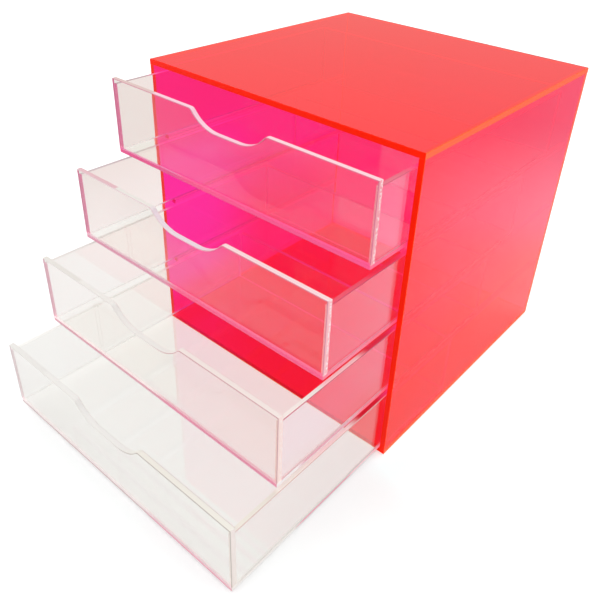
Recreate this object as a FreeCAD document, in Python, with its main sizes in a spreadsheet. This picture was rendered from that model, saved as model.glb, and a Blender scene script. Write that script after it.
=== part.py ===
import FreeCAD, Part

import os

import Sketcher

# A cube-shaped organizer for a dressing table: a case of tinted acrylic sheet, open at the front, and four
# identical drawers of clear acrylic sheet that slide out of it one above the other. Every piece is cut from
# flat sheet and cemented edge to face.
#
# Frame: origin at the centre of the case's base, +Z up, +Y to the back, so the drawers pull out towards -Y.
# Lengths are millimetres.

# Driving dimensions: (alias, value, what it is).
SIZES = [
    ("case_width", 240.0, "outside width of the case"),
    ("case_depth", 240.0, "outside depth of the case"),
    ("case_height", 240.0, "outside height of the case"),
    ("case_sheet", 4.0, "thickness of the tinted sheet"),
    ("runner_width", 4.0, "how far a runner strip stands out from the side wall"),
    ("runner_height", 3.0, "thickness of a runner strip"),
    ("runner_setback", 8.0, "front end of a runner, behind the case's front edge"),
    ("runner_rear_gap", 3.0, "rear end of a runner, ahead of the back panel"),
    ("front_sheet", 4.0, "thickness of a drawer's front panel"),
    ("drawer_sheet", 3.0, "thickness of a drawer's bottom, sides and back"),
    ("side_play", 0.5, "gap between a drawer and the case's side, on each side"),
    ("rear_play", 1.0, "gap behind a drawer that is pushed right in"),
    ("running_gap", 0.3, "gap between a drawer's bottom and what it slides on"),
    ("front_gap", 2.0, "gap between one drawer's front panel and the next drawer's bottom"),
    ("side_drop", 4.0, "how much lower the sides and back are than the front panel"),
    ("scoop_width", 66.0, "finger scoop, across its mouth"),
    ("scoop_depth", 11.5, "finger scoop, below the top edge of the front panel"),
    ("scoop_flat", 20.0, "finger scoop, straight run along its bottom"),
    ("scoop_corner", 4.0, "radius where the scoop meets the top edge"),
    ("arris", 0.4, "bevel scraped on the free edges of every sheet"),
    ("pull_step", 37.3, "how much further out each drawer stands than the one above it"),
]

DRAWERS = 4  # drawer 1 is the top one
LEVELS = ["upper", "middle", "lower"]  # runner pairs, under drawers 1, 2 and 3

# Sizes that follow from the driving dimensions, as expressions on the sheet.
INNER_WIDTH = "(sizes.case_width - 2 * sizes.case_sheet)"
INNER_HEIGHT = "(sizes.case_height - 2 * sizes.case_sheet)"
BAY = f"({INNER_HEIGHT} / {DRAWERS})"
CASE_FRONT = "(-sizes.case_depth / 2)"
WALL_DEPTH = "(sizes.case_depth - sizes.case_sheet)"
DRAWER_WIDTH = f"({INNER_WIDTH} - 2 * sizes.side_play)"
DRAWER_DEPTH = f"({WALL_DEPTH} - sizes.rear_play)"
DRAWER_HEIGHT = f"({BAY} - sizes.front_gap)"
FRONT_HEIGHT = f"({DRAWER_HEIGHT} - sizes.drawer_sheet)"
WALL_HEIGHT = f"({FRONT_HEIGHT} - sizes.side_drop)"

# Sketch axes and the point numbers of a sketch's lines and arcs.
X_AXIS, Y_AXIS = range(-1, -3, -1)
START, END = range(1, 3)

doc = FreeCAD.newDocument("organizer")


def make_sheet():
    """The spreadsheet that holds every driving dimension."""
    sizes = doc.addObject("Spreadsheet::Sheet", "sizes")
    for row, (alias, value, meaning) in enumerate(SIZES, start=1):
        sizes.set(f"A{row}", meaning)
        sizes.set(f"B{row}", str(value))
        sizes.setAlias(f"B{row}", alias)
    doc.recompute()
    return sizes


sizes = make_sheet()


def origin_plane(body, role):
    """One of a body's own three base planes."""
    return next(item for item in body.Origin.OriginFeatures if item.Role == role)


def new_sketch(body, name, role):
    sketch = body.newObject("Sketcher::SketchObject", name)
    sketch.AttachmentSupport = [(origin_plane(body, role), "")]
    sketch.MapMode = "FlatFace"
    return sketch


def bind(sketch, kind, args, name, expression):
    """Adds a dimension to a sketch and ties it to the spreadsheet."""
    value = sketch.evalExpression(expression)
    index = sketch.addConstraint(Sketcher.Constraint(kind, *args, value))
    sketch.renameConstraint(index, name)
    sketch.setExpression(f"Constraints.{name}", expression)


def draw_rectangle(sketch, width, height, centred):
    """A rectangle that stands on the sketch's X axis, centred on its Y axis or with a corner at the origin."""
    left, right = (-1, 1) if centred else (0, 2)
    corners = [FreeCAD.Vector(x, y, 0) for x, y in ((left, 0), (right, 0), (right, 2), (left, 2))]
    edges = zip(corners, corners[1:] + corners[:1])
    base, side, top, other = [sketch.addGeometry(Part.LineSegment(a, b)) for a, b in edges]
    for one, after in ((base, side), (side, top), (top, other), (other, base)):
        sketch.addConstraint(Sketcher.Constraint("Coincident", one, END, after, START))
    sketch.addConstraint(Sketcher.Constraint("Horizontal", top))
    for line in (side, other):
        sketch.addConstraint(Sketcher.Constraint("Vertical", line))
    if centred:
        sketch.addConstraint(Sketcher.Constraint("Symmetric", base, START, base, END, Y_AXIS))
        sketch.addConstraint(Sketcher.Constraint("PointOnObject", base, START, X_AXIS))
    else:
        sketch.addConstraint(Sketcher.Constraint("Coincident", base, START, X_AXIS, START))
        sketch.addConstraint(Sketcher.Constraint("Horizontal", base))
    bind(sketch, "DistanceX", (base, START, base, END), "width", width)
    bind(sketch, "DistanceY", (side, START, side, END), "height", height)


def place(body, x, y, z):
    for axis, expression in zip("xyz", (x, y, z)):
        body.setExpression(f".Placement.Base.{axis}", expression)


def make_panel(label, plane, width, height, thickness, position):
    """A flat sheet: a rectangle on one base plane, padded by the sheet's thickness.

    Sheets on XY lie flat, on XZ stand across the organizer and on YZ stand from front to back.
    """
    body = doc.addObject("PartDesign::Body", label)
    sketch = new_sketch(body, f"{label}_outline", f"{plane}_Plane")
    draw_rectangle(sketch, width, height, centred=plane != "YZ")
    pad = body.newObject("PartDesign::Pad", f"{label}_sheet")
    pad.Profile = sketch
    pad.Reversed = plane == "XZ"  # the XZ plane's normal is -Y, and the sheet grows towards +Y
    pad.setExpression("Length", thickness)
    sketch.Visibility = False
    place(body, *position)
    doc.recompute()
    return body


def edges_where(body, test):
    """Names of the tip's edges whose two ends and middle all pass the test, in the body's own axes."""
    shape = body.Tip.Shape
    names = []
    for number, edge in enumerate(shape.Edges, start=1):
        first, last = edge.ParameterRange
        points = [edge.valueAt(value) for value in (first, (first + last) / 2, last)]
        if all(test(point, shape.BoundBox) for point in points):
            names.append(f"Edge{number}")
    return names


def add_dressup(body, kind, name, test, size_property, size):
    """A fillet or bevel on the tip's edges that pass the test."""
    base = (body.Tip, edges_where(body, test))
    feature = body.newObject(f"PartDesign::{kind}", name)
    feature.Base = base
    feature.setExpression(size_property, size)
    doc.recompute()


def near(value, level):
    return abs(value - level) < 1e-6


def ease_edges(body, test):
    """Scrapes the arris off the free edges, where no other sheet meets them."""
    add_dressup(body, "Chamfer", f"{body.Label}_arris", test, "Size", "sizes.arris")


def make_case():
    """Base and top span the whole case; the back and the sides stand between them, the sides ahead of the back."""
    width, height, sheet = "sizes.case_width", INNER_HEIGHT, "sizes.case_sheet"
    base = make_panel("case_bottom", "XY", width, "sizes.case_depth", sheet, ("0", CASE_FRONT, "0"))
    ease_edges(base, lambda p, box: not near(p.z, box.ZMax))

    lid_z = f"{sheet} + {height}"
    lid = make_panel("case_top", "XY", width, "sizes.case_depth", sheet, ("0", CASE_FRONT, lid_z))
    ease_edges(lid, lambda p, box: not near(p.z, box.ZMin))

    back_y = f"{CASE_FRONT} + {WALL_DEPTH}"
    back = make_panel("case_back", "XZ", width, height, sheet, ("0", back_y, sheet))
    ease_edges(back, upright_edges_at_the_back)

    left_x = f"-{width} / 2"
    right_x = f"{width} / 2 - {sheet}"
    walls = []
    for label, wall_x in (("case_left_side", left_x), ("case_right_side", right_x)):
        wall = make_panel(label, "YZ", WALL_DEPTH, height, sheet, (wall_x, CASE_FRONT, sheet))
        ease_edges(wall, upright_edges_at_the_front)
        walls.append(wall)
    return [base, lid, back, *walls]


def upright_edges_at_the_back(point, box):
    return near(point.y, box.YMax) and (near(point.x, box.XMin) or near(point.x, box.XMax))


def upright_edges_at_the_front(point, box):
    return near(point.y, box.YMin) and (near(point.x, box.XMin) or near(point.x, box.XMax))


def make_runners():
    """Strips cemented level along both side walls; the three upper drawers slide on them."""
    length = f"{WALL_DEPTH} - sizes.runner_setback - sizes.runner_rear_gap"
    front_y = f"{CASE_FRONT} + sizes.runner_setback"
    left_x = f"-{INNER_WIDTH} / 2"
    right_x = f"{INNER_WIDTH} / 2 - sizes.runner_width"
    runners = []
    for number, level in enumerate(LEVELS, start=1):
        z = f"{bay_floor(number)} - sizes.runner_height"
        for side, x in (("left", left_x), ("right", right_x)):
            label = f"runner_{side}_{level}"
            strip = make_panel(
                label, "YZ", length, "sizes.runner_height", "sizes.runner_width", (x, front_y, z)
            )
            ease_edges(strip, free_runner_edges[side])
            runners.append(strip)
    return runners


# The long edges of a runner on the side away from the wall.
free_runner_edges = {
    "left": lambda p, box: near(p.x, box.XMax) and (near(p.z, box.ZMin) or near(p.z, box.ZMax)),
    "right": lambda p, box: near(p.x, box.XMin) and (near(p.z, box.ZMin) or near(p.z, box.ZMax)),
}


def bay_floor(number):
    """Height of what a drawer slides on: the case's bottom for the last one, a pair of runners for the others."""
    return f"(sizes.case_sheet + {DRAWERS - number} * {BAY})"


def draw_scoop(sketch):
    """Finger scoop below the top edge: a straight bottom that turns up into an arc at each end."""
    top = sketch.evalExpression(FRONT_HEIGHT)
    half, flat, depth = sizes.scoop_width / 2, sizes.scoop_flat / 2, sizes.scoop_depth
    run = half - flat
    radius = (run * run + depth * depth) / (2 * depth)
    through = run / 2, radius - (radius**2 - (run / 2) ** 2) ** 0.5  # a point half-way along the arc
    mouth = sketch.addGeometry(Part.LineSegment(point(-half, top), point(half, top)))
    bottom = sketch.addGeometry(Part.LineSegment(point(flat, top - depth), point(-flat, top - depth)))
    middle_z = top - depth + through[1]
    rising = Part.Arc(point(flat, top - depth), point(flat + through[0], middle_z), point(half, top))
    falling = Part.Arc(point(-half, top), point(-flat - through[0], middle_z), point(-flat, top - depth))
    right = sketch.addGeometry(rising)
    left = sketch.addGeometry(falling)
    sketch.addConstraint(Sketcher.Constraint("Coincident", mouth, END, right, END))
    sketch.addConstraint(Sketcher.Constraint("Tangent", bottom, START, right, START))
    sketch.addConstraint(Sketcher.Constraint("Tangent", bottom, END, left, END))
    sketch.addConstraint(Sketcher.Constraint("Coincident", mouth, START, left, START))
    sketch.addConstraint(Sketcher.Constraint("Symmetric", mouth, START, mouth, END, Y_AXIS))
    sketch.addConstraint(Sketcher.Constraint("Symmetric", bottom, START, bottom, END, Y_AXIS))
    bind(sketch, "DistanceY", (X_AXIS, START, mouth, START), "top_edge", FRONT_HEIGHT)
    bind(sketch, "DistanceX", (mouth, START, mouth, END), "mouth", "sizes.scoop_width")
    bind(sketch, "DistanceX", (bottom, END, bottom, START), "flat", "sizes.scoop_flat")
    bind(sketch, "DistanceY", (bottom, START, mouth, END), "depth", "sizes.scoop_depth")


def point(x, y):
    return FreeCAD.Vector(x, y, 0)


def make_drawer_front(label, position):
    """The front panel: a sheet the full width of the drawer, with the finger scoop cut from its top edge."""
    front = make_panel(label, "XZ", DRAWER_WIDTH, FRONT_HEIGHT, "sizes.front_sheet", position)
    uncut = front.Shape.Volume
    sketch = new_sketch(front, f"{label}_scoop", "XZ_Plane")
    draw_scoop(sketch)
    pocket = front.newObject("PartDesign::Pocket", f"{label}_scoop_cut")
    pocket.Profile = sketch
    pocket.Type = "ThroughAll"
    sketch.Visibility = False
    doc.recompute()
    if front.Shape.Volume >= uncut:
        raise RuntimeError(f"{label}: the scoop cut nothing")
    mouth = sizes.scoop_width / 2
    add_dressup(
        front,
        "Fillet",
        f"{label}_scoop_corners",
        lambda p, box: near(p.z, box.ZMax) and near(abs(p.x), mouth),
        "Radius",
        "sizes.scoop_corner",
    )
    ease_edges(front, free_front_edges)
    return front


def free_front_edges(point, box):
    """The front panel's top edge with its scoop, on both faces, and the upright edges of its front face."""
    end_of_sheet = near(point.x, box.XMin) or near(point.x, box.XMax)
    on_a_face = near(point.y, box.YMin) or near(point.y, box.YMax)
    in_top_edge = on_a_face and not end_of_sheet and point.z > box.ZMax - sizes.scoop_depth - 1e-6
    upright = end_of_sheet and near(point.y, box.YMin)
    return in_top_edge or upright


def make_drawer(number):
    """A box open at the top: four walls that stand on the bottom sheet, the front one thicker and taller."""
    name = f"drawer_{number}"
    sheet = "sizes.drawer_sheet"
    front_y = f"({CASE_FRONT} - {number} * sizes.pull_step)"
    bottom_z = f"({bay_floor(number)} + sizes.running_gap)"
    wall_z = f"({bottom_z} + {sheet})"
    wall_y = f"({front_y} + sizes.front_sheet)"
    side_depth = f"({DRAWER_DEPTH} - sizes.front_sheet)"
    left_x = f"-{DRAWER_WIDTH} / 2"
    right_x = f"{DRAWER_WIDTH} / 2 - {sheet}"

    bottom = make_panel(f"{name}_bottom", "XY", DRAWER_WIDTH, DRAWER_DEPTH, sheet, ("0", front_y, bottom_z))
    ease_edges(bottom, lambda p, box: not near(p.z, box.ZMax))

    front = make_drawer_front(f"{name}_front", ("0", front_y, wall_z))

    sides = []
    for side, x in (("left", left_x), ("right", right_x)):
        panel = make_panel(f"{name}_{side}_side", "YZ", side_depth, WALL_HEIGHT, sheet, (x, wall_y, wall_z))
        ease_edges(panel, long_top_edges)
        sides.append(panel)

    back_y = f"{front_y} + {DRAWER_DEPTH} - {sheet}"
    back_width = f"{DRAWER_WIDTH} - 2 * {sheet}"
    back = make_panel(f"{name}_back", "XZ", back_width, WALL_HEIGHT, sheet, ("0", back_y, wall_z))
    ease_edges(back, across_top_edges)
    return [bottom, front, *sides, back]


def long_top_edges(point, box):
    return near(point.z, box.ZMax) and (near(point.x, box.XMin) or near(point.x, box.XMax))


def across_top_edges(point, box):
    return near(point.z, box.ZMax) and (near(point.y, box.YMin) or near(point.y, box.YMax))


def check_document():
    """No feature may be left failed after the last recompute."""
    for item in doc.Objects:
        if "Invalid" in item.State or "Error" in item.State:
            raise RuntimeError(f"{item.Name}: {item.State}")


def export(pieces):
    os.makedirs("parts", exist_ok=True)
    for piece in pieces:
        if piece.Shape.isNull() or not piece.Shape.isValid():
            raise RuntimeError(f"{piece.Label}: its shape is not valid")
        piece.Shape.exportStep(f"parts/{piece.Label}.step")
        print(f"{piece.Label}: {piece.Shape.Volume / 1000:.2f} cm3, {len(piece.Shape.Solids)} solid")


pieces = make_case() + make_runners()
for drawer in range(1, DRAWERS + 1):
    pieces += make_drawer(drawer)
doc.recompute()
check_document()
export(pieces)
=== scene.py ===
# %% [markdown]
# # A cube of tinted acrylic with clear drawers
#
# The real object is nothing but flat sheet: a case of fluorescent red acrylic, and drawers of clear
# acrylic, all cut from sheet and cemented edge to face. What makes it look like acrylic is light: what the
# sheet lets through, what it mirrors, and how its cut edges shine. The exact solids come first, as a fixed
# frame that moves as the drawers do, and everything below is dressed around them.

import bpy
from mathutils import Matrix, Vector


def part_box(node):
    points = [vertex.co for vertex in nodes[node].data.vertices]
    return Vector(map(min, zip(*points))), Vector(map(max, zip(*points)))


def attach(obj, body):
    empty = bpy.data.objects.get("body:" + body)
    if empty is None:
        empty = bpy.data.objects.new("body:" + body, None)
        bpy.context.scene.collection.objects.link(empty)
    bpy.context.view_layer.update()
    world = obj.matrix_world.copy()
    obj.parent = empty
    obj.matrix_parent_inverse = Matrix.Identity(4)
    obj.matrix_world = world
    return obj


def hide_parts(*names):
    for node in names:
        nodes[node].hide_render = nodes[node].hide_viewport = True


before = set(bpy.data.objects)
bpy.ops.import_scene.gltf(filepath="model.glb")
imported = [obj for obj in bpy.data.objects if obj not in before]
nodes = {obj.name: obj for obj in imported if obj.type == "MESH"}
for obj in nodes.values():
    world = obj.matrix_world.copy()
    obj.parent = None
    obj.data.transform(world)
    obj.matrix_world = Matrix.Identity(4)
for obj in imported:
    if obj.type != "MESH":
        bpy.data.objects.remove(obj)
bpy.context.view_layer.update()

import math

import bpy

# %% [markdown]
# ## The camera
#
# The view is a little above the object, from its right-hand front. The numbers are the place of the eye,
# the way that it looks and how wide it sees. They were settled first, because every later choice is judged
# through them.

# %% Camera
camera = bpy.data.objects.new("camera", bpy.data.cameras.new("camera"))
bpy.context.scene.collection.objects.link(camera)
bpy.context.scene.camera = camera
camera.location = (0.28935, -0.42650, 0.38726)
camera.rotation_euler = [math.radians(angle) for angle in (58.352, -2.613, 40.104)]
camera.data.sensor_width = 36
camera.data.lens = 40.47
camera.data.shift_x = -0.0253
camera.data.shift_y = -0.0855
print("camera at", [round(value, 3) for value in camera.location])

# %% [markdown]
# ## Small helpers for shader nodes
#
# A material here is a short formula in shader nodes. It could be drawn by hand in the shader editor. These
# helpers let the same nodes be written one per line, so that the formula can be read: `reckon` works with
# numbers, `blend` with colours, and `spread` turns a range of one number into a range of another.

# %% Sockets and sums
X, Y, Z = range(3)


def feed(tree, value, socket):
    """Puts a number or a colour into a socket, or links another socket to it."""
    if isinstance(value, bpy.types.NodeSocket):
        tree.links.new(value, socket)
    elif isinstance(value, tuple):
        socket.default_value = (*value, 1.0)
    else:
        socket.default_value = value


def reckon(tree, operation, *values):
    node = tree.nodes.new("ShaderNodeMath")
    node.operation = operation
    for value, socket in zip(values, node.inputs):
        feed(tree, value, socket)
    return node.outputs["Value"]


def both(tree, first, second):
    """The product of two numbers. Of two masks, it is 1 only where both are 1."""
    return reckon(tree, "MULTIPLY", first, second)


def under(tree, value, limit):
    """1 where the value is smaller than the limit, otherwise 0."""
    return reckon(tree, "LESS_THAN", value, limit)


def over(tree, value, limit):
    """1 where the value is larger than the limit, otherwise 0."""
    return reckon(tree, "GREATER_THAN", value, limit)


print("sums ready")


# %% Mixes and ranges
def blend(tree, share, first, second):
    node = tree.nodes.new("ShaderNodeMix")
    node.data_type = "RGBA"
    for value, index in ((share, 0), (first, 6), (second, 7)):
        feed(tree, value, node.inputs[index])
    return node.outputs[2]


def spread(tree, value, start, end, low=0.0, high=1.0):
    """Runs smoothly from low to high as the value runs from start to end, and is level outside them."""
    node = tree.nodes.new("ShaderNodeMapRange")
    node.interpolation_type = "SMOOTHSTEP"
    for amount, socket in zip((value, start, end, low, high), node.inputs):
        feed(tree, amount, socket)
    return node.outputs["Result"]


def choose(tree, mask, where_0, where_1):
    """One number where a mask is 0 and another where it is 1."""
    return spread(tree, mask, 0.0, 1.0, where_0, where_1)


print("mixes ready")


# %% A new material, and where its point lies
def new_material(name):
    material = bpy.data.materials.new(name)
    material.use_nodes = True
    return material, material.node_tree, material.node_tree.nodes["Principled BSDF"]


def place_and_facing(tree):
    """Object coordinates of the point, and which way its surface faces, each as x, y and z."""
    source = tree.nodes.new("ShaderNodeTexCoord")
    split = []
    for output in ("Object", "Normal"):
        node = tree.nodes.new("ShaderNodeSeparateXYZ")
        tree.links.new(source.outputs[output], node.inputs[0])
        split.append(list(node.outputs))
    return source.outputs["Object"], *split


def farther_than(tree, value, limit):
    """1 where the value is larger than the limit on either side of zero."""
    return over(tree, reckon(tree, "ABSOLUTE", value), limit)


print("material helpers ready")

# %% [markdown]
# ## Cut edges and saw marks
#
# On real sheet the two broad faces come polished from the maker and the narrow edges are sawn, so one piece
# needs two finishes. It could have two materials, but the edges are told apart just as well by which way
# they face: not along the sheet's thickness. The saw leaves fine marks across the edge, which a stretched
# noise gives as a bump. The bump is nothing on the faces, which stay as flat as they are.


# %% Edge mask and saw marks
BROAD_FACE = 0.97
MARKS_ALONG, MARKS_ACROSS = 1600.0, 100.0
MARK_DEPTH = 0.0001
MARK_STRENGTH = 0.35


def cut_edge(tree, facing, across):
    """1 on a sheet's cut edges and bevels, 0 on its broad faces. across is the axis of its thickness."""
    return reckon(tree, "SUBTRACT", 1.0, farther_than(tree, facing[across], BROAD_FACE))


def saw_marks(tree, place, edge, across):
    stretch = tree.nodes.new("ShaderNodeMapping")
    marks = [MARKS_ACROSS if axis == across else MARKS_ALONG for axis in range(3)]
    stretch.inputs["Scale"].default_value = marks
    tree.links.new(place, stretch.inputs["Vector"])
    grain = tree.nodes.new("ShaderNodeTexNoise")
    grain.inputs["Scale"].default_value = 1.0
    tree.links.new(stretch.outputs["Vector"], grain.inputs["Vector"])
    bump = tree.nodes.new("ShaderNodeBump")
    bump.inputs["Distance"].default_value = MARK_DEPTH
    feed(tree, both(tree, edge, MARK_STRENGTH), bump.inputs["Strength"])
    tree.links.new(grain.outputs["Fac"], bump.inputs["Height"])
    return bump.outputs["Normal"]


print("edges ready")

# %% [markdown]
# ## Fluorescent red acrylic
#
# The case's sheet is dyed right through. The dye swallows green almost at once and blue more slowly, so one
# sheet over white looks hot pink and two or three look red. Paint on the surface couldn't do that, so the
# colour sits in a Volume Absorption shader inside the sheet. The dye also gives light back, a clear
# red-orange that is caught between the faces and comes out at the cut edges. A little emission on the faces
# and much more on the edges stands for it. The edges let nothing through, as a sawn edge does, and mirror
# only red. The side walls have painted light on them: a pinker glow where the light from the open front
# reaches them, and a warmer tint near the right wall's front edge. The left wall's edges are a darker red,
# as painted shade.

# %% Colours of the case
EDGE_RED = (0.90, 0.012, 0.001)
EDGE_ORANGE = (0.95, 0.105, 0.020)
EDGE_SHADED = (0.80, 0.022, 0.005)
FACE_GLOW = (0.06, 0.0012, 0.0)
PINK_GLOW = (0.06, 0.002, 0.06)
OPENING_GLOW = (0.05, 0.010, 0.18)
WHITE, BLACK = (1.0, 1.0, 1.0), (0.0, 0.0, 0.0)


def painted_wall_glow(tree, at):
    """Painted light: a pinker glow where the light from the front falls on the left wall, a trace on the
    right.
    """
    risen = spread(tree, at[Z], 0.07, 0.12)
    upper = reckon(tree, "SUBTRACT", risen, spread(tree, at[Z], 0.16, 0.20, 0.0, 0.3))
    left = under(tree, at[X], 0.0)
    pink = blend(tree, both(tree, upper, choose(tree, left, 0.25, 1.0)), FACE_GLOW, PINK_GLOW)
    band = both(tree, spread(tree, at[Z], 0.015, 0.045), spread(tree, at[Z], 0.150, 0.185, 1.0, 0.0))
    opening = both(tree, band, spread(tree, at[Y], -0.085, 0.005, 1.0, 0.0))
    return blend(tree, both(tree, opening, left), pink, OPENING_GLOW)


print("case colours ready")


# %% Fluorescent acrylic
ACRYLIC_IOR = 1.49
DYE_COLOUR = (0.992, 0.0, 0.54, 1.0)
DYE_DENSITY = 800.0
EDGE_MIRROR = (1.0, 0.1, 0.05)
PAINTED_WARM_TINT = (1.0, 0.85, 0.56)


def side_wall_face(tree, at):
    """Painted light: the right wall is tinted warmer towards its front edge, so it lets warmer light through
    there.
    """
    by_front = both(tree, over(tree, at[X], 0.0), spread(tree, at[Y], -0.120, -0.06, 1.0, 0.0))
    return blend(tree, by_front, WHITE, PAINTED_WARM_TINT)


def fluorescent_acrylic(name, across):
    material, tree, shader = new_material(name)
    place, at, facing = place_and_facing(tree)
    side_wall = across == X
    edge = cut_edge(tree, facing, across)
    edge_colour = blend(tree, farther_than(tree, facing[X], 0.6), EDGE_RED, EDGE_ORANGE)
    if side_wall:
        # Painted shade: the left wall's edges are a darker red.
        edge_colour = blend(tree, under(tree, at[X], 0.0), edge_colour, EDGE_SHADED)
    edge_glow = blend(tree, 0.4, BLACK, edge_colour)
    face_glow = painted_wall_glow(tree, at) if side_wall else FACE_GLOW
    face = side_wall_face(tree, at) if side_wall else WHITE
    feed(tree, blend(tree, edge, face, edge_colour), shader.inputs["Base Color"])
    feed(tree, blend(tree, edge, WHITE, EDGE_MIRROR), shader.inputs["Specular Tint"])
    feed(tree, reckon(tree, "SUBTRACT", 1.0, edge), shader.inputs["Transmission Weight"])
    feed(tree, both(tree, edge, 0.4), shader.inputs["Roughness"])
    feed(tree, saw_marks(tree, place, edge, across), shader.inputs["Normal"])
    feed(tree, blend(tree, edge, face_glow, edge_glow), shader.inputs["Emission Color"])
    shader.inputs["Emission Strength"].default_value = 1.0
    shader.inputs["IOR"].default_value = ACRYLIC_IOR
    dye = tree.nodes.new("ShaderNodeVolumeAbsorption")
    dye.inputs["Color"].default_value = DYE_COLOUR
    dye.inputs["Density"].default_value = DYE_DENSITY
    tree.links.new(dye.outputs["Volume"], tree.nodes["Material Output"].inputs["Volume"])
    return material


tinted = [fluorescent_acrylic(f"fluorescent_acrylic_{letter}", axis) for axis, letter in enumerate("xyz")]
print("tinted sheet:", [material.name for material in tinted])


# %% The cement film in the case's joints, glowing with painted light
def glowing_joint():
    material, tree, shader = new_material("glowing_joint")
    place = place_and_facing(tree)[0]
    film = tree.nodes.new("ShaderNodeTexNoise")
    film.inputs["Scale"].default_value = 300.0
    tree.links.new(place, film.inputs["Vector"])
    colour = blend(tree, film.outputs["Fac"], (0.95, 0.05, 0.01), (1.0, 0.10, 0.03))
    feed(tree, colour, shader.inputs["Base Color"])
    feed(tree, colour, shader.inputs["Emission Color"])
    shader.inputs["Emission Strength"].default_value = 0.6
    shader.inputs["Roughness"].default_value = 0.5
    return material


tinted_joint = glowing_joint()
print("joint:", tinted_joint.name)

# %% [markdown]
# ## Clear acrylic
#
# The drawers' sheet has no dye, and its faces are almost pure glass. Its cut edges are painted with the light
# and reflections that they take from what is near: inside the case they are nearly as pink as its walls, in
# the upper drawers they shine hot pink, and in the lowest drawer, which stands furthest out in the room, they
# fade to cream. This painted light is as the edges have it at rest. So a colour is needed for each drawer. A
# Color Ramp with hard steps, read by height, gives it: the drawers stand one above the other, at even steps.

# %% A colour for each drawer
BASE_SHEET, TIER = 0.004, 0.058


def ladder(tree, at, *colours):
    """One colour for each drawer, the lowest drawer first."""
    rung = reckon(tree, "DIVIDE", reckon(tree, "SUBTRACT", at[Z], BASE_SHEET), TIER * len(colours))
    node = tree.nodes.new("ShaderNodeValToRGB")
    ramp = node.color_ramp
    ramp.interpolation = "CONSTANT"
    while len(ramp.elements) < len(colours):
        ramp.elements.new(0.5)
    for step, colour in enumerate(colours):
        ramp.elements[step].position = step / len(colours)
        ramp.elements[step].color = (*colour, 1.0)
    feed(tree, rung, node.inputs[0])
    return node.outputs["Color"]


def height_in_drawer(tree, at):
    return reckon(tree, "MODULO", reckon(tree, "SUBTRACT", at[Z], BASE_SHEET), TIER)


print("one tier is", TIER, "m high")

# %% [markdown]
# ## The edges of the front panels
#
# A front panel shows four kinds of edge, all coloured with painted light. Its top carries a painted
# reflection of the ceiling, and is brightest right of the finger scoop, while its free left end is a little
# darker. Its right end shows the joint with the side, where small bubbles were trapped in the cement, tinted
# pinker on the upper drawers with painted light. Its left end is seen through the panel, as a painted pink
# line. Its foot stands on the drawer's bottom, and seen through the pane it nearly vanishes, which takes more
# glow, because little light reaches it there.
#
# Every free edge also has a small bevel, scraped to take the sharpness off. It faces another way than the
# edge does and is painted darker, as painted shade, so a bright edge has thin outlines. Each function below
# gives the colour of the edge, that of its outlines, and how strongly the edge glows.

# %% Bubbles
PANE = (0.96, 0.93, 0.90)


def flecks(tree, place, scale, size):
    """White bubbles, as dots that are 1 inside and 0 outside."""
    dots = tree.nodes.new("ShaderNodeTexVoronoi")
    dots.inputs["Scale"].default_value = scale
    tree.links.new(place, dots.inputs["Vector"])
    return under(tree, dots.outputs["Distance"], size)


print("bubbles ready")

# %% Tops of the fronts
SCOOP_LEFT, SCOOP_RIGHT = (-0.036, -0.030), (0.012, 0.036)
FREE_END = (-0.073, -0.070)


def front_top(tree, at):
    """A painted reflection: free end, rest of the left half, finger scoop, and the bright right half."""
    free = ladder(tree, at, (0.59, 0.58, 0.56), (0.57, 0.55, 0.52), (0.55, 0.35, 0.385), (0.50, 0.36, 0.35))
    beside = ladder(
        tree, at, (0.62, 0.61, 0.59), (0.62, 0.605, 0.58), (0.59, 0.575, 0.545), (0.66, 0.42, 0.50)
    )
    scoop = ladder(tree, at, (0.62, 0.61, 0.59), (0.62, 0.605, 0.58), (0.60, 0.52, 0.57), (0.66, 0.42, 0.50))
    quiet = blend(tree, spread(tree, at[X], *SCOOP_LEFT), beside, scoop)
    bright = ladder(
        tree, at, (0.615, 0.595, 0.545), (0.64, 0.565, 0.54), (0.68, 0.51, 0.52), (0.68, 0.45, 0.49)
    )
    left = blend(tree, spread(tree, at[X], *FREE_END), free, quiet)
    return blend(tree, spread(tree, at[X], *SCOOP_RIGHT), left, bright)


print("front edges: top")

# %% Right ends of the fronts
FRONT_OF_LOWEST, STEP_OUT = -0.2692, 0.0373
OUTER_HALF = 0.0018


def right_end(tree, place, at):
    """Plain outer half and bubbles in front of the joint, in painted light that is pinker on the upper
    drawers.
    """
    film = ladder(tree, at, (0.64, 0.575, 0.54), (0.70, 0.54, 0.49), (0.70, 0.35, 0.36), (0.66, 0.24, 0.27))
    bubble = ladder(
        tree, at, (0.66, 0.60, 0.565), (0.74, 0.61, 0.57), (0.80, 0.61, 0.60), (0.77, 0.51, 0.51)
    )
    bubbled = blend(tree, flecks(tree, place, scale=700.0, size=0.45), film, bubble)
    depth = reckon(tree, "MODULO", reckon(tree, "SUBTRACT", at[Y], FRONT_OF_LOWEST), STEP_OUT)
    return blend(tree, over(tree, depth, OUTER_HALF), film, bubbled)


print("front edges: right end")

# %% [markdown]
# ## Pink lines
#
# Where an edge is seen through a pane, or where the cement film catches the light, the real drawers have a
# thin pink line of light, which here is painted. It is the same pink wherever it shows on a drawer, so it is
# one function.
#
# The feet of the fronts are painted a stronger pink towards the right. There the tinted case stands behind
# them and its colour comes through the edges, and that begins further to the right on each lower drawer, so
# the border slants.


# %% Pink line, and the slanting border
SLANT, BORDER = 0.75, (-0.174, -0.154)


def pink_line(tree, at):
    return ladder(
        tree, at, (0.68, 0.56, 0.575), (0.70, 0.38, 0.46), (0.68, 0.19, 0.34), (0.72, 0.185, 0.36)
    )


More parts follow.
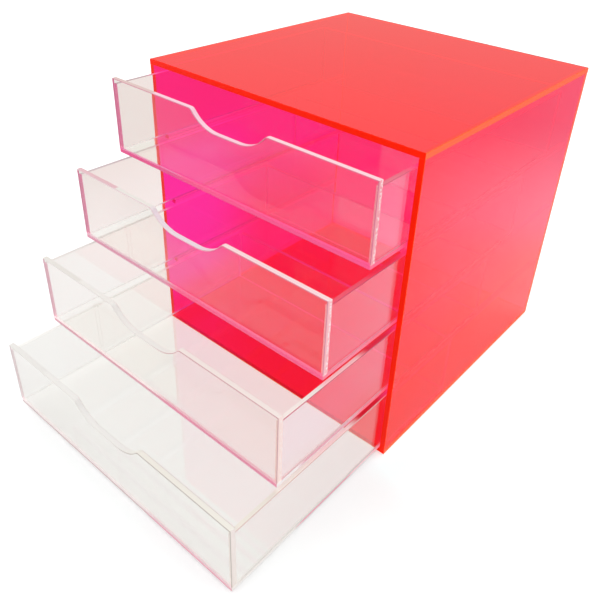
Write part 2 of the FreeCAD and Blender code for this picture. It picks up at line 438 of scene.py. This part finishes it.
def before_case(tree, at):
    """0 on the left of the slanting border, 1 on its right."""
    return spread(tree, reckon(tree, "ADD", at[X], both(tree, at[Y], SLANT)), *BORDER)


print("pink line ready")


# %% The whole edge of a front
SHINE, FOOT_SHINE = 0.45, 0.80
FOOT = 0.0040


def front_edges(tree, place, at, facing):
    end = blend(tree, over(tree, at[X], 0.0), pink_line(tree, at), right_end(tree, place, at))
    # Painted light: the foot is pinker where the case stands behind it.
    pale = ladder(tree, at, (0.84, 0.72, 0.74), (0.86, 0.72, 0.72), (0.62, 0.42, 0.48), (0.62, 0.13, 0.32))
    strong = ladder(
        tree, at, (0.74, 0.54, 0.58), (0.70, 0.38, 0.44), (0.79, 0.110, 0.25), (0.78, 0.055, 0.24)
    )
    foot = blend(tree, before_case(tree, at), pale, strong)
    low = under(tree, height_in_drawer(tree, at), FOOT)
    crosswise = blend(tree, low, front_top(tree, at), foot)
    colour = blend(tree, farther_than(tree, facing[X], 0.95), crosswise, end)
    # Painted shade: the outlines on the bevels are darker than the edge.
    faint = ladder(tree, at, (0.58, 0.56, 0.54), (0.56, 0.53, 0.51), (0.56, 0.44, 0.46), (0.47, 0.20, 0.26))
    dark_painted_outline = ladder(
        tree, at, (0.38, 0.34, 0.31), (0.44, 0.25, 0.26), (0.50, 0.19, 0.24), (0.52, 0.13, 0.20)
    )
    outline = blend(tree, spread(tree, at[X], 0.0, 0.03), faint, dark_painted_outline)
    return colour, outline, choose(tree, low, SHINE, FOOT_SHINE)


print("front edges: left end and foot")

# %% [markdown]
# ## The edges of the sides and bottoms
#
# Close to the case the edges carry a painted reflection of its red mouth and go deep red, while further
# out they are painted cream on top and pink below. A side's top lies in the shade of the drawer above it,
# from that drawer's front panel backwards, and is painted lighter there to look the same. On the far side of
# the drawer the edges are only thin grey lines.

# %% Where a side lies in the shade
FRONT_SHEET = 0.004


def under_next_drawer(tree, at):
    """1 behind the front panel of the drawer above, 0 where the drawer stands out in the open."""
    above_base = reckon(tree, "SUBTRACT", at[Z], BASE_SHEET)
    rung = reckon(tree, "FLOOR", reckon(tree, "DIVIDE", above_base, TIER))
    behind = reckon(tree, "SUBTRACT", at[Y], both(tree, reckon(tree, "ADD", rung, 1.0), STEP_OUT))
    return spread(tree, behind, FRONT_OF_LOWEST, FRONT_OF_LOWEST + FRONT_SHEET)


print("shade ready")

# %% Side edges
NEAR_CASE = (-0.163, -0.147)
SIDE_CREAM_TO_ROSE = (-0.218, -0.182)


def side_edges(tree, place, at, facing):
    # Painted light: red reflection near the case, cream and pink further out, lighter where in shade.
    near = ladder(
        tree, at, (0.62, 0.012, 0.03), (0.64, 0.028, 0.065), (0.74, 0.035, 0.08), (0.53, 0.105, 0.16)
    )
    open_air = ladder(
        tree, at, (0.62, 0.58, 0.52), (0.66, 0.59, 0.56), (0.60, 0.07, 0.11), (0.56, 0.12, 0.18)
    )
    cream = ladder(tree, at, (0.82, 0.75, 0.69), (0.88, 0.66, 0.66), (0.64, 0.06, 0.10), (0.56, 0.12, 0.18))
    rose = ladder(tree, at, (0.88, 0.60, 0.61), (0.86, 0.50, 0.52), (0.64, 0.06, 0.10), (0.56, 0.12, 0.18))
    shaded = blend(tree, spread(tree, at[Y], *SIDE_CREAM_TO_ROSE), cream, rose)
    away = blend(tree, under_next_drawer(tree, at), open_air, shaded)
    right = blend(tree, spread(tree, at[Y], *NEAR_CASE), away, near)
    left = ladder(tree, at, (0.70, 0.695, 0.67), (0.58, 0.55, 0.53), (0.44, 0.36, 0.375), (0.36, 0.25, 0.27))
    on_right = over(tree, at[X], 0.0)
    # Painted shade: the outlines on the bevels, grey on the left and red on the right.
    grey = ladder(tree, at, (0.60, 0.59, 0.57), (0.40, 0.38, 0.37), (0.34, 0.26, 0.27), (0.30, 0.19, 0.21))
    red = ladder(tree, at, (0.50, 0.36, 0.34), (0.42, 0.10, 0.14), (0.46, 0.05, 0.10), (0.48, 0.08, 0.14))
    return blend(tree, on_right, left, right), blend(tree, on_right, grey, red), SHINE


print("side edges ready")


# %% Right and front edges of the bottoms
BOTTOM_CREAM_TO_PINK = (-0.216, -0.204)
CREAM_EDGE = (0.66, 0.63, 0.61)


# Painted light: the bottoms' edges are redder near the case and pinker where it stands behind them.
def bottom_right(tree, at):
    near = ladder(tree, at, (0.64, 0.46, 0.49), (0.74, 0.12, 0.17), (0.74, 0.11, 0.16), (0.79, 0.07, 0.16))
    away = ladder(tree, at, (0.57, 0.28, 0.34), (0.58, 0.27, 0.32), (0.71, 0.15, 0.21), (0.80, 0.09, 0.19))
    away = blend(tree, spread(tree, at[Y], *BOTTOM_CREAM_TO_PINK), CREAM_EDGE, away)
    return blend(tree, spread(tree, at[Y], *NEAR_CASE), away, near)


def bottom_front(tree, at):
    pale = ladder(tree, at, (0.51, 0.42, 0.42), (0.57, 0.28, 0.34), (0.62, 0.26, 0.36), (0.70, 0.075, 0.235))
    strong = ladder(
        tree, at, (0.60, 0.32, 0.38), (0.62, 0.20, 0.30), (0.80, 0.095, 0.22), (0.82, 0.080, 0.24)
    )
    return blend(tree, before_case(tree, at), pale, strong)


# Painted shade: the outlines on the bevels are darker than the edge.
def bottom_outline(tree, at):
    pale = ladder(tree, at, (0.50, 0.38, 0.40), (0.44, 0.20, 0.25), (0.44, 0.17, 0.25), (0.50, 0.06, 0.19))
    strong = ladder(
        tree, at, (0.46, 0.26, 0.31), (0.46, 0.13, 0.20), (0.48, 0.055, 0.13), (0.52, 0.04, 0.15)
    )
    return blend(tree, before_case(tree, at), pale, strong)


print("bottom edges: right and front")

# %% The whole edge of a bottom
LEFT_END = -0.1148
LEFT_END_SHINE = 0.70


def bottom_edges(tree, place, at, facing):
    """The left end is seen through the whole drawer, where it is painted as pale as the table beyond it."""
    right = bottom_right(tree, at)
    outer = blend(tree, farther_than(tree, facing[Y], 0.5), right, bottom_front(tree, at))
    outline = bottom_outline(tree, at)
    right_of_end = over(tree, at[X], LEFT_END)
    glow = choose(tree, right_of_end, LEFT_END_SHINE, SHINE)
    beyond = ladder(
        tree, at, (0.89, 0.88, 0.87), (0.89, 0.85, 0.845), (0.89, 0.855, 0.845), (0.91, 0.85, 0.86)
    )
    return blend(tree, right_of_end, beyond, outer), blend(tree, right_of_end, PANE, outline), glow


print("bottom edges: all round")

# %% [markdown]
# ## Edges inside the case
#
# Inside the case all edges are painted with the walls' light, nearly as pink as the walls, and pinkest by
# the left wall, near the open front. A transparent edge would let the dark inside of the sheet show, so the
# edges are opaque, and a little emission keeps them bright where they are seen from inside the sheet.


# %% Edges inside the case
MOUTH = (-0.132, -0.112)
WALL_PINK, OPENING_PINK = (0.93, 0.05, 0.20), (0.95, 0.068, 0.39)


def inside_case(tree, at):
    by_left_wall = under(tree, at[X], -0.111)
    by_opening = both(tree, by_left_wall, spread(tree, at[Y], -0.085, 0.02, 1.0, 0.0))
    return blend(tree, by_opening, WALL_PINK, OPENING_PINK)


print("edges inside the case ready")


# %% Clear acrylic
CLEAR_FACE = (0.985, 0.98, 0.97)
EDGE_ROUGHNESS = 0.35
BEVEL = 0.25


def clear_sheet(tree, shader, place, edge, across, edge_colour, edge_glow):
    """Polished clear faces, and opaque sawn edges of one colour that glow a little."""
    feed(tree, blend(tree, edge, CLEAR_FACE, edge_colour), shader.inputs["Base Color"])
    feed(tree, edge_colour, shader.inputs["Emission Color"])
    feed(tree, both(tree, edge, edge_glow), shader.inputs["Emission Strength"])
    feed(tree, reckon(tree, "SUBTRACT", 1.0, edge), shader.inputs["Transmission Weight"])
    feed(tree, both(tree, edge, EDGE_ROUGHNESS), shader.inputs["Roughness"])
    feed(tree, saw_marks(tree, place, edge, across), shader.inputs["Normal"])
    shader.inputs["IOR"].default_value = ACRYLIC_IOR


def clear_acrylic(name, across, edge_tint):
    material, tree, shader = new_material(name)
    place, at, facing = place_and_facing(tree)
    edge = cut_edge(tree, facing, across)
    tint, outline, glow = edge_tint(tree, place, at, facing)
    outside = blend(tree, farther_than(tree, facing[across], BEVEL), tint, outline)
    within = spread(tree, at[Y], *MOUTH)
    edge_colour = blend(tree, within, outside, inside_case(tree, at))
    clear_sheet(tree, shader, place, edge, across, edge_colour, choose(tree, within, glow, 0.60))
    return material


clear = [
    clear_acrylic("clear_acrylic_x", X, side_edges),
    clear_acrylic("clear_acrylic_y", Y, front_edges),
    clear_acrylic("clear_acrylic_z", Z, bottom_edges),
]
print("clear sheet:", [material.name for material in clear])

# %% [markdown]
# ## Cement in the drawers' joints
#
# The cement is a film with no thickness worth modelling, but it shows: an upright line at each front
# corner, and a line at the foot of each side. Its colours and glow are painted light, red close to the case
# as on the edges. It gets its own material, for the faces where one sheet meets the next.


# %% Cement
LEFT_FOOT = (1.0, 1.0, 0.975)


def cement(name):
    material, tree, shader = new_material(name)
    place, at, facing = place_and_facing(tree)
    upright = ladder(tree, at, (0.80, 0.72, 0.69), (0.78, 0.53, 0.49), (0.88, 0.29, 0.32), (0.80, 0.22, 0.28))
    foot = ladder(tree, at, (0.93, 0.90, 0.85), (0.96, 0.60, 0.61), (0.96, 0.21, 0.26), (0.92, 0.13, 0.22))
    foot_by_case = ladder(
        tree, at, (0.93, 0.72, 0.72), (0.96, 0.30, 0.36), (0.96, 0.17, 0.24), (0.92, 0.13, 0.22)
    )
    foot = blend(tree, spread(tree, at[Y], *NEAR_CASE), foot, foot_by_case)
    right = blend(tree, farther_than(tree, facing[Z], 0.5), upright, foot)
    left = blend(tree, farther_than(tree, facing[Z], 0.5), pink_line(tree, at), LEFT_FOOT)
    film = blend(tree, over(tree, at[X], 0.0), left, right)
    specks = flecks(tree, place, scale=900.0, size=0.30)
    speckled = blend(tree, both(tree, specks, 0.3), film, PANE)
    colour = blend(tree, spread(tree, at[Y], *MOUTH), speckled, inside_case(tree, at))
    feed(tree, colour, shader.inputs["Base Color"])
    feed(tree, colour, shader.inputs["Emission Color"])
    shader.inputs["Emission Strength"].default_value = SHINE
    shader.inputs["Roughness"].default_value = 0.5
    return material


cement_film = cement("cement_film")
print("cement:", cement_film.name)

# %% [markdown]
# ## Sheets that touch
#
# Two panes of glass whose faces lie in exactly the same place confuse a ray: it can't tell which it met
# first, and the joint comes out speckled. So of each pair that touches, one sheet is modelled anew, a hair
# short of its neighbour, about as much as the film of cement. The new sheet is a cube, added at its size
# and place, and its free edges get the scraped bevel in edit mode. The edges where it is cemented stay
# sharp.

# %% A bare selection, and a box a hair short
HAIR = 0.00003
ARRIS = 0.0004


def bare_selection():
    if bpy.context.object and bpy.context.object.mode != "OBJECT":
        bpy.ops.object.mode_set(mode="OBJECT")
    bpy.ops.object.select_all(action="DESELECT")


def short_box(node, touching):
    """A node's box, a hair short on the sides where it touches other sheets, such as "x+" or "z-"."""
    low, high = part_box(node)
    for side in touching:
        axis = "xyz".index(side[0])
        if side[1] == "-":
            low[axis] += HAIR
        else:
            high[axis] -= HAIR
    return low, high


print("gap at a joint:", HAIR, "m")


# %% Add a sheet and bevel its free edges
CLOSE_ENOUGH = 1e-6


def on_side(point, low, high, side):
    axis = "xyz".index(side[0])
    limit = low if side[1] == "-" else high
    return abs(point[axis] - limit[axis]) < CLOSE_ENOUGH


def bevel_free_edges(sheet, low, high, touching):
    for line in sheet.data.edges:
        middle = sum((sheet.data.vertices[index].co for index in line.vertices), low * 0) / 2
        line.select = not any(on_side(middle, low, high, side) for side in touching)
    bpy.ops.object.mode_set(mode="EDIT")
    bpy.ops.mesh.select_mode(type="EDGE")
    bpy.ops.mesh.bevel(offset=ARRIS, segments=2, affect="EDGES")
    bpy.ops.object.mode_set(mode="OBJECT")


def add_sheet(name, node, touching):
    low, high = short_box(node, touching)
    bare_selection()
    bpy.ops.mesh.primitive_cube_add(size=1, location=(low + high) / 2, scale=high - low)
    sheet = bpy.context.object
    sheet.name = name
    bpy.ops.object.transform_apply(location=True, rotation=True, scale=True)
    bpy.ops.object.mode_set(mode="EDIT")
    bpy.ops.mesh.select_all(action="DESELECT")
    bpy.ops.object.mode_set(mode="OBJECT")
    bevel_free_edges(sheet, low, high, touching)
    return sheet


print("bevel:", ARRIS, "m")


# %% Give the joint faces their cement
def coat(sheet, node, touching, acrylic, film):
    """The second material goes on the narrow faces where the sheet is cemented."""
    low, high = short_box(node, touching)
    size = high - low
    across = min(range(3), key=lambda axis: size[axis])
    sheet.data.materials.clear()
    for material in (acrylic, film):
        sheet.data.materials.append(material)
    for face in sheet.data.polygons:
        joint = any(on_side(face.center, low, high, side) for side in touching)
        narrow = abs(face.normal[across]) < 0.9
        face.material_index = int(joint and narrow)
    return sheet


print("joints have their own faces")

# %% [markdown]
# ## Copies
#
# The left and right sides are mirror images, and the four drawers are the same drawer. So each sheet is
# modelled once and copied. A copy has a mesh of its own, so that it can be moved by its vertices and its
# object can stay at the origin. Mirroring turns a mesh inside out, so its normals are put right afterwards.


# %% Copy a sheet
def copy_sheet(sheet, name, move=(0, 0, 0), mirrored=False):
    bare_selection()
    copy = sheet.copy()
    copy.data = sheet.data.copy()
    copy.name = name
    bpy.context.scene.collection.objects.link(copy)
    bpy.context.view_layer.objects.active = copy
    copy.select_set(True)
    bpy.ops.object.mode_set(mode="EDIT")
    bpy.ops.mesh.select_all(action="SELECT")
    if mirrored:
        bpy.ops.transform.resize(value=(-1, 1, 1), center_override=(0, 0, 0))
        bpy.ops.mesh.remove_doubles(threshold=CLOSE_ENOUGH)
        bpy.ops.mesh.normals_make_consistent(inside=False)
    bpy.ops.transform.translate(value=move)
    bpy.ops.object.mode_set(mode="OBJECT")
    return copy


def settle(sheet, body, node):
    """Attaches the sheet to the body it moves with, and hides the solid that it stands for."""
    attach(sheet, body)
    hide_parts(node)


print("copies ready")

# %% [markdown]
# ## The case's walls
#
# The back and the two sides stand between the top and the base. The sides are one sheet and its mirror
# image.

# %% Walls
BACK_JOINTS, SIDE_JOINTS = ("y-", "z-", "z+"), ("x+", "y+", "z-", "z+")

back_wall = add_sheet("back_wall", "case_back", BACK_JOINTS)
coat(back_wall, "case_back", BACK_JOINTS, tinted[Y], tinted_joint)
left_wall = add_sheet("left_wall", "case_left_side", SIDE_JOINTS)
coat(left_wall, "case_left_side", SIDE_JOINTS, tinted[X], tinted_joint)
right_wall = copy_sheet(left_wall, "right_wall", mirrored=True)

settle(back_wall, "case", "case_back")
settle(left_wall, "case", "case_left_side")
settle(right_wall, "case", "case_right_side")
print("walls:", [len(wall.data.polygons) for wall in (back_wall, left_wall, right_wall)], "faces")

# %% [markdown]
# ## The drawers' bottoms and sides
#
# A drawer is a box without a lid. Its bottom lies under its front and sides, and the sides stand between
# the front and the bottom. The top drawer's three sheets are made first, then copied down, one tier and one
# step further out for each drawer.

# %% The top drawer's sheets
BOTTOM_JOINTS, SIDE_OF_DRAWER_JOINTS = ("z+",), ("x+", "y-", "z-")

bottom = add_sheet("drawer_1_bottom_sheet", "drawer_1_bottom", BOTTOM_JOINTS)
coat(bottom, "drawer_1_bottom", BOTTOM_JOINTS, clear[Z], cement_film)
left = add_sheet("drawer_1_left_side_sheet", "drawer_1_left_side", SIDE_OF_DRAWER_JOINTS)
coat(left, "drawer_1_left_side", SIDE_OF_DRAWER_JOINTS, clear[X], cement_film)
right = copy_sheet(left, "drawer_1_right_side_sheet", mirrored=True)
top_drawer = {"bottom": bottom, "left_side": left, "right_side": right}
print("one drawer:", sum(len(sheet.data.polygons) for sheet in top_drawer.values()), "faces")

# %% The other three drawers
for number in range(2, 5):
    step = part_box(f"drawer_{number}_bottom")[0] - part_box("drawer_1_bottom")[0]
    for part, sheet in top_drawer.items():
        copy = copy_sheet(sheet, f"drawer_{number}_{part}_sheet", move=step)
        settle(copy, f"drawer_{number}", f"drawer_{number}_{part}")
    print("drawer", number, "stands at", [round(value, 4) for value in step], "from drawer 1")
for part, sheet in top_drawer.items():
    settle(sheet, "drawer_1", f"drawer_1_{part}")

# %% [markdown]
# ## Sheets that keep their solid
#
# The top and base of the case, the drawers' fronts with their finger scoops, and the drawers' backs are
# right as they are, and now nothing else lies in the same place. They only need their material.


# %% Dress the solids that stay
CASE_SHEETS = ("case_top", "case_bottom")
DRAWER_SHEETS = [f"drawer_{number}_{part}" for number in range(1, 5) for part in ("front", "back")]


def dress(node, material):
    nodes[node].data.materials.clear()
    nodes[node].data.materials.append(material)


for node in CASE_SHEETS:
    dress(node, tinted[Z])
for node in DRAWER_SHEETS:
    dress(node, clear[Y])
print("dressed:", len(CASE_SHEETS) + len(DRAWER_SHEETS), "solids")

# %% [markdown]
# ## The runners
#
# Each runner is a thin strip of clear sheet cemented to the tinted wall, and its edges are painted with
# nearly all their colour from the wall's light. Only its sawn front end shows, as a small painted dark red
# spot, where it looks into the length of the strip.


# %% Runners
RUNNER_FRONT = -0.1115
DARK_SPOT = (0.70, 0.01, 0.07)


def runner_acrylic():
    material, tree, shader = new_material("runner_acrylic")
    place, at, facing = place_and_facing(tree)
    edge = cut_edge(tree, facing, X)
    front_end = under(tree, at[Y], RUNNER_FRONT)
    colour = blend(tree, front_end, inside_case(tree, at), DARK_SPOT)
    clear_sheet(tree, shader, place, edge, X, colour, 0.50)
    return material


strip = runner_acrylic()
for level in ("upper", "middle", "lower"):
    for side in ("left", "right"):
        dress(f"runner_{side}_{level}", strip)
print("runners:", strip.name)

# %% [markdown]
# ## The table
#
# The object stands on a plain white table. What the camera sees of it straight is lifted towards white by a
# little emission, and the shadow stays. The lift is a little greener and bluer than grey, and much more so
# to the right of the case, to cancel the red light that comes through the case. Seen through the acrylic
# the table is painted with emitted light: a warm cream near the object and a shade darker farther off, and
# beneath the case a painted warm light like the case's own.
#
# In a mirror image the table has painted shade: it dims with distance, as a table does that ends, and in the
# patch that the top drawer's front mirrors. That keeps the reflections on the fronts soft. To the right,
# where the case's side mirrors it, and to the left, where the fronts do, it has a little painted bluish
# light of its own.

# %% Table
TABLE_SIZE, TABLE_HEIGHT = 12, -0.0002

bare_selection()
bpy.ops.mesh.primitive_plane_add(size=TABLE_SIZE, location=(0, 0, TABLE_HEIGHT))
table = bpy.context.object
table.name = "table"
material, tree, shader = new_material("white_table")
table.data.materials.append(material)
at = place_and_facing(tree)[1]
rays = tree.nodes.new("ShaderNodeLightPath")
through, mirrored = rays.outputs["Is Transmission Ray"], rays.outputs["Is Glossy Ray"]


def distance_from(x, y):
    aside = reckon(tree, "POWER", reckon(tree, "SUBTRACT", at[X], x), 2.0)
    ahead = reckon(tree, "POWER", reckon(tree, "SUBTRACT", at[Y], y), 2.0)
    return reckon(tree, "SQRT", reckon(tree, "ADD", aside, ahead))


span = distance_from(0.0, 0.0)
print("table:", [round(value, 2) for value in table.dimensions])

# %% The table's colour, with painted shade in mirror images
TABLE_WHITE, TABLE_DIM, TABLE_THROUGH = [(level, level, level) for level in (0.90, 0.10, 0.14)]
DIM_PATCH = (-0.27, -0.455)

dimming = spread(tree, span, 0.36, 0.74, 0.0, 0.62)
dim_patch = spread(tree, distance_from(*DIM_PATCH), 0.06, 0.15, 0.95, 0.0)
dim = both(tree, reckon(tree, "MAXIMUM", dimming, dim_patch), mirrored)
plain = blend(tree, dim, TABLE_WHITE, TABLE_DIM)
feed(tree, blend(tree, through, plain, TABLE_THROUGH), shader.inputs["Base Color"])
shader.inputs["Roughness"].default_value = 0.6
print("table coloured:", material.name)

# %% The table's light, seen through the acrylic
HALF_CASE = 0.120
LEFT_CREAM, CREAM, FAR_CREAM = (0.765, 0.765, 0.75), (0.83, 0.83, 0.815), (0.68, 0.665, 0.63)
CASE_WARMTH = (0.76, 0.32, 0.06)

farthest = reckon(tree, "MAXIMUM", reckon(tree, "ABSOLUTE", at[X]), reckon(tree, "ABSOLUTE", at[Y]))
beneath = under(tree, farthest, HALF_CASE)
close_by = blend(tree, spread(tree, at[X], -0.120, -0.112), LEFT_CREAM, CREAM)
cream = blend(tree, spread(tree, span, 0.26, 0.47), close_by, FAR_CREAM)
seen_through = blend(tree, beneath, cream, CASE_WARMTH)
print("table through the acrylic ready")

# %% The table's light, seen in a mirror image
RIGHT_LIGHT, LEFT_LIGHT, WALL_LIGHT = (0.03, 0.04, 0.25), (0.14, 0.12, 0.16), (0.18, 0.19, 0.52)

to_right = both(tree, spread(tree, at[X], 0.12, 0.16), spread(tree, span, 0.26, 0.38))
to_left = both(tree, spread(tree, at[X], -0.22, -0.11, 1.0, 0.0), spread(tree, at[Y], -0.40, -0.37))
slant = reckon(tree, "SUBTRACT", at[Y], both(tree, at[X], 1.6))
beside = both(tree, spread(tree, at[X], 0.14, 0.17), spread(tree, slant, -0.312, -0.296, 1.0, 0.0))
seen_mirrored = blend(tree, to_right, BLACK, RIGHT_LIGHT)
seen_mirrored = blend(tree, to_left, seen_mirrored, LEFT_LIGHT)
seen_mirrored = blend(tree, beside, seen_mirrored, WALL_LIGHT)
print("table in mirror images ready")

# %% The table's light, seen straight
LIFT, LIFT_BY_CASE = (0.30, 0.325, 0.325), (0.30, 0.52, 0.52)

by_the_case = both(tree, spread(tree, at[X], 0.105, 0.125), spread(tree, at[Y], -0.150, -0.110))
lift = blend(tree, by_the_case, LIFT, LIFT_BY_CASE)
lifted = blend(tree, mirrored, lift, seen_mirrored)
feed(tree, blend(tree, through, lifted, seen_through), shader.inputs["Emission Color"])
seen = reckon(tree, "ADD", reckon(tree, "ADD", rays.outputs["Is Camera Ray"], through), mirrored)
feed(tree, reckon(tree, "MINIMUM", seen, 1.0), shader.inputs["Emission Strength"])
print("table finished:", material.name)

# %% [markdown]
# ## The light
#
# Soft light comes from all round, brighter overhead than near the horizon, as in a room with a white
# ceiling. A lamp would throw hard glints on every pane, so the world alone gives the light. What is seen
# straight, or through the acrylic, is plain white. The panes mirror the room, a little warmer on the left
# than on the right.

# %% World
LOW_LIGHT, CEILING_LIGHT = 0.52, 1.36
WARM_LEFT, PALE_RIGHT = (1.0, 0.97, 0.84), (1.0, 0.97, 0.97)

world = bpy.data.worlds.new("soft_room")
bpy.context.scene.world = world
world.use_nodes = True
tree = world.node_tree
source = tree.nodes.new("ShaderNodeTexCoord")
split = tree.nodes.new("ShaderNodeSeparateXYZ")
tree.links.new(source.outputs["Generated"], split.inputs[0])
rays = tree.nodes.new("ShaderNodeLightPath")


def mix_levels(share, first, second):
    node = tree.nodes.new("ShaderNodeMix")
    node.data_type = "FLOAT"
    for value, index in ((share, 0), (first, 2), (second, 3)):
        feed(tree, value, node.inputs[index])
    return node.outputs[0]


room = spread(tree, split.outputs["Z"], 0.2, 0.95, LOW_LIGHT, CEILING_LIGHT)
behind_acrylic = mix_levels(rays.outputs["Is Transmission Ray"], room, 1.0)
level = mix_levels(rays.outputs["Is Camera Ray"], behind_acrylic, 1.0)
background = tree.nodes["Background"]
feed(tree, level, background.inputs["Strength"])
warmth = blend(tree, spread(tree, split.outputs["X"], -0.6, 0.6), WARM_LEFT, PALE_RIGHT)
feed(tree, blend(tree, rays.outputs["Is Glossy Ray"], WHITE, warmth), background.inputs["Color"])
print("world:", world.name)

# %% [markdown]
# ## Enough bounces
#
# A ray that looks through the case and two drawers crosses dozens of faces. With too few bounces it stops
# inside and that place turns black, so the limits are raised.

# %% Bounces
cycles = bpy.context.scene.cycles
cycles.max_bounces = 32
cycles.transmission_bounces = 32
cycles.glossy_bounces = 12
cycles.diffuse_bounces = 3
bpy.context.scene.view_settings.view_transform = "Standard"
print("bounces:", cycles.max_bounces)
